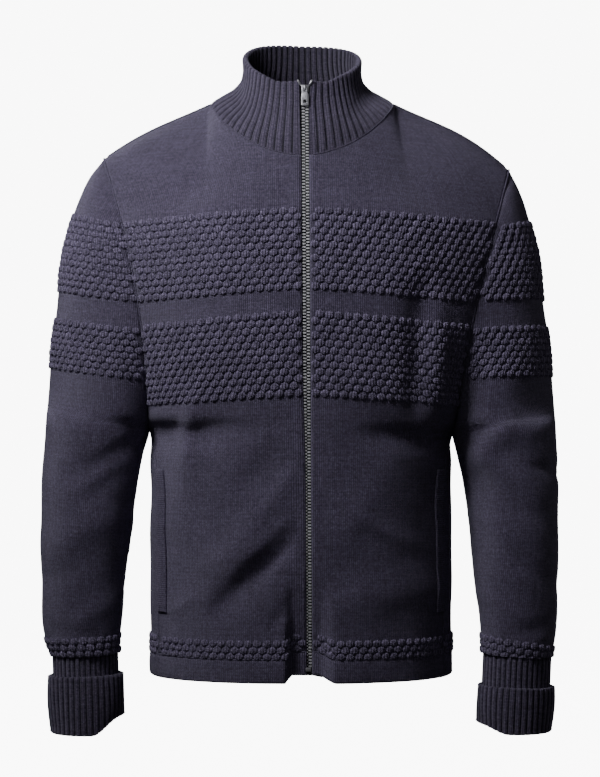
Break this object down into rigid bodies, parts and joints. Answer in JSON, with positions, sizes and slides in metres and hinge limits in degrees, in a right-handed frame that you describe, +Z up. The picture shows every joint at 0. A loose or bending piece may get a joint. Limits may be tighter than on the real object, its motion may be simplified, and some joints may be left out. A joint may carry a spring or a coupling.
{
  "type": "zip-up knitted cardigan",
  "caption": "Filled-out knitted zip-up cardigan with tall ribbed collar, bobble-knit bands, turned-back ribbed cuffs and a metal zip.",
  "frame": {"origin": "middle of the neck, level with the inner ends of the shoulder seams, where the wearer's shoulders hold the garment", "axes": "+Z up, -Y the front with the zip, so +X is the wearer's left"},
  "size_m": [0.5962, 0.2608, 0.7993],
  "materials": {
    "knit": "dark navy wool stockinette and bobble knit, matt",
    "rib_knit": "dark navy wool rib, matt",
    "zip_tape": "dark woven tape, matt",
    "zip_metal": "silver-coloured metal, satin"
  },
  "bodies": {
    "garment": {"back": "knit", "front_right": "knit", "front_left": "knit", "sleeve_right": "knit", "sleeve_left": "knit", "hem_front_right": "knit", "hem_front_left": "knit", "hem_back": "knit", "welt_right": "knit", "welt_left": "knit", "collar": "rib_knit", "cuff_right": "rib_knit", "cuff_left": "rib_knit", "zip_tape_right": "zip_tape", "zip_tape_left": "zip_tape", "zip_teeth_right": "zip_metal", "zip_teeth_left": "zip_metal", "slider": "zip_metal", "top_stop_right": "zip_metal", "top_stop_left": "zip_metal", "bottom_stop": "zip_metal"},
    "pull": {"pull_tab": "zip_metal"}
  },
  "joints": [
    {"name": "pull_tab_swing", "type": "hinge", "parent": "garment", "child": "pull", "pos_m": [-0.00137, -0.07985, 0.01582], "axis": [-1, 0, 0], "range_deg": [0, 150]}
  ]
}
